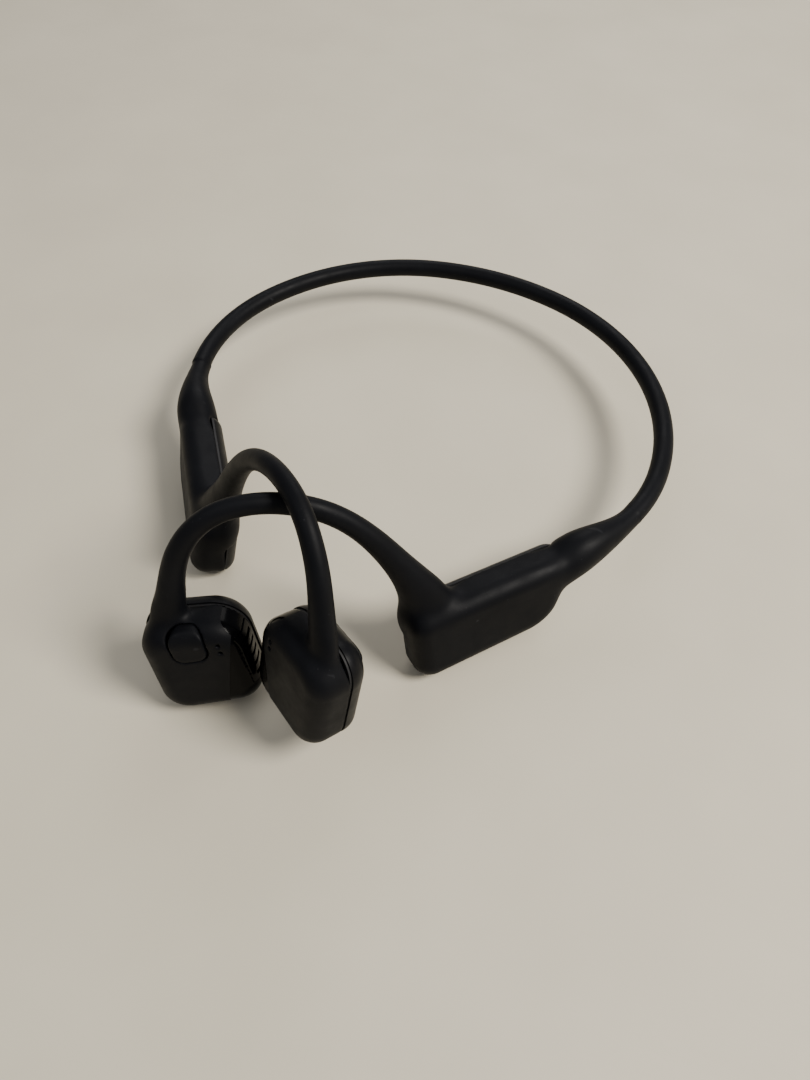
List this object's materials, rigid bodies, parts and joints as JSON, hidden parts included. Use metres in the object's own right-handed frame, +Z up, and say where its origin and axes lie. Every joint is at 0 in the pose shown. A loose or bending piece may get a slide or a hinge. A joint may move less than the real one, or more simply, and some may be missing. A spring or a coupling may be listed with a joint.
{
  "type": "bone conduction headphones",
  "caption": "Wireless bone conduction headphones with a flexible neckband, ear hooks, pods and earpieces, lying with the arms crossed and the hooks interlocked.",
  "frame": {"origin": "on the surface the headphones lie on, under the middle of the whole object's box", "axes": "+Z up; -Y is the way a wearer would face; +Y towards the back of the neckband; +X towards the left pod, which lies on the right of the crossed arms"},
  "size_m": [0.109, 0.131, 0.0458],
  "materials": {
    "battery_foil": "foil pouch",
    "circuit_board": "solder mask",
    "plated_metal": "plated",
    "component_black": "moulded",
    "silicone_skin": "matte soft-touch silicone",
    "seal_rubber": "matte",
    "housing_plastic": "fine satin",
    "lead_jacket": "satin",
    "spring_steel": "satin",
    "gloss_black": "high gloss",
    "copper_winding": "enamelled winding",
    "button_silicone": "matte soft-touch silicone",
    "light_pipe": "clear"
  },
  "bodies": {
    "left_arm": {"battery": "battery_foil", "battery_board": "circuit_board", "left_air_driver": "component_black", "left_contact_pad": "silicone_skin", "left_earpiece_cover": "silicone_skin", "left_earpiece_gasket": "seal_rubber", "left_earpiece_housing": "housing_plastic", "left_hook_leads": "lead_jacket", "left_hook_sleeve": "silicone_skin", "left_hook_wire": "spring_steel", "left_microphone": "component_black", "left_pod_cover": "silicone_skin", "left_pod_gasket": "seal_rubber", "left_pod_housing": "housing_plastic", "left_sound_grille": "gloss_black", "left_spring_plate": "spring_steel", "left_tail_boot": "silicone_skin", "left_transducer_magnet": "plated_metal", "left_transducer_yoke": "plated_metal", "left_voice_coil": "copper_winding", "multifunction_switch": "component_black"},
    "right_arm": {"board_shield": "plated_metal", "main_board": "circuit_board", "port_seal": "seal_rubber", "right_air_driver": "component_black", "right_contact_pad": "silicone_skin", "right_earpiece_cover": "silicone_skin", "right_earpiece_gasket": "seal_rubber", "right_earpiece_housing": "housing_plastic", "right_hook_leads": "lead_jacket", "right_hook_sleeve": "silicone_skin", "right_hook_wire": "spring_steel", "right_microphone": "component_black", "right_pod_cover": "silicone_skin", "right_pod_gasket": "seal_rubber", "right_pod_housing": "housing_plastic", "right_sound_grille": "gloss_black", "right_spring_plate": "spring_steel", "right_tail_boot": "silicone_skin", "right_transducer_magnet": "plated_metal", "right_transducer_yoke": "plated_metal", "right_voice_coil": "copper_winding", "status_light_pipe": "light_pipe", "usb_c_receptacle": "plated_metal", "volume_switches": "component_black"},
    "multifunction_button": {"multifunction_button": "button_silicone"},
    "neckband": {"neckband_cable": "lead_jacket", "neckband_sleeve": "silicone_skin", "neckband_wire": "spring_steel"},
    "volume_down_button": {"volume_down_button": "button_silicone"},
    "volume_up_button": {"volume_up_button": "button_silicone"}
  },
  "joints": [
    {"name": "right_arm_flex", "type": "hinge", "parent": "neckband", "child": "right_arm", "pos_m": [-0.05057, 0.00511, 0.01262], "axis": [0, 0, 1], "range_deg": [0, 6], "stiffness_Nm_per_rad": 0.35},
    {"name": "left_arm_flex", "type": "hinge", "parent": "neckband", "child": "left_arm", "pos_m": [0.05078, 0.00283, 0.01367], "axis": [0, 0, -1], "range_deg": [0, 6], "stiffness_Nm_per_rad": 0.35},
    {"name": "multifunction_press", "type": "slide", "parent": "left_arm", "child": "multifunction_button", "axis": [-0.4361, 0.8699, -0.2303], "range_m": [0, 0.0004], "stiffness_N_per_m": 900},
    {"name": "volume_up_press", "type": "slide", "parent": "right_arm", "child": "volume_up_button", "axis": [0.1881, 0.1709, 0.9672], "range_m": [0, 0.0004], "stiffness_N_per_m": 900},
    {"name": "volume_down_press", "type": "slide", "parent": "right_arm", "child": "volume_down_button", "axis": [0.1881, 0.1709, 0.9672], "range_m": [0, 0.0004], "stiffness_N_per_m": 900}
  ],
  "couplings": [
    {"joint": "left_arm_flex", "follows": "right_arm_flex", "ratio": 1}
  ]
}
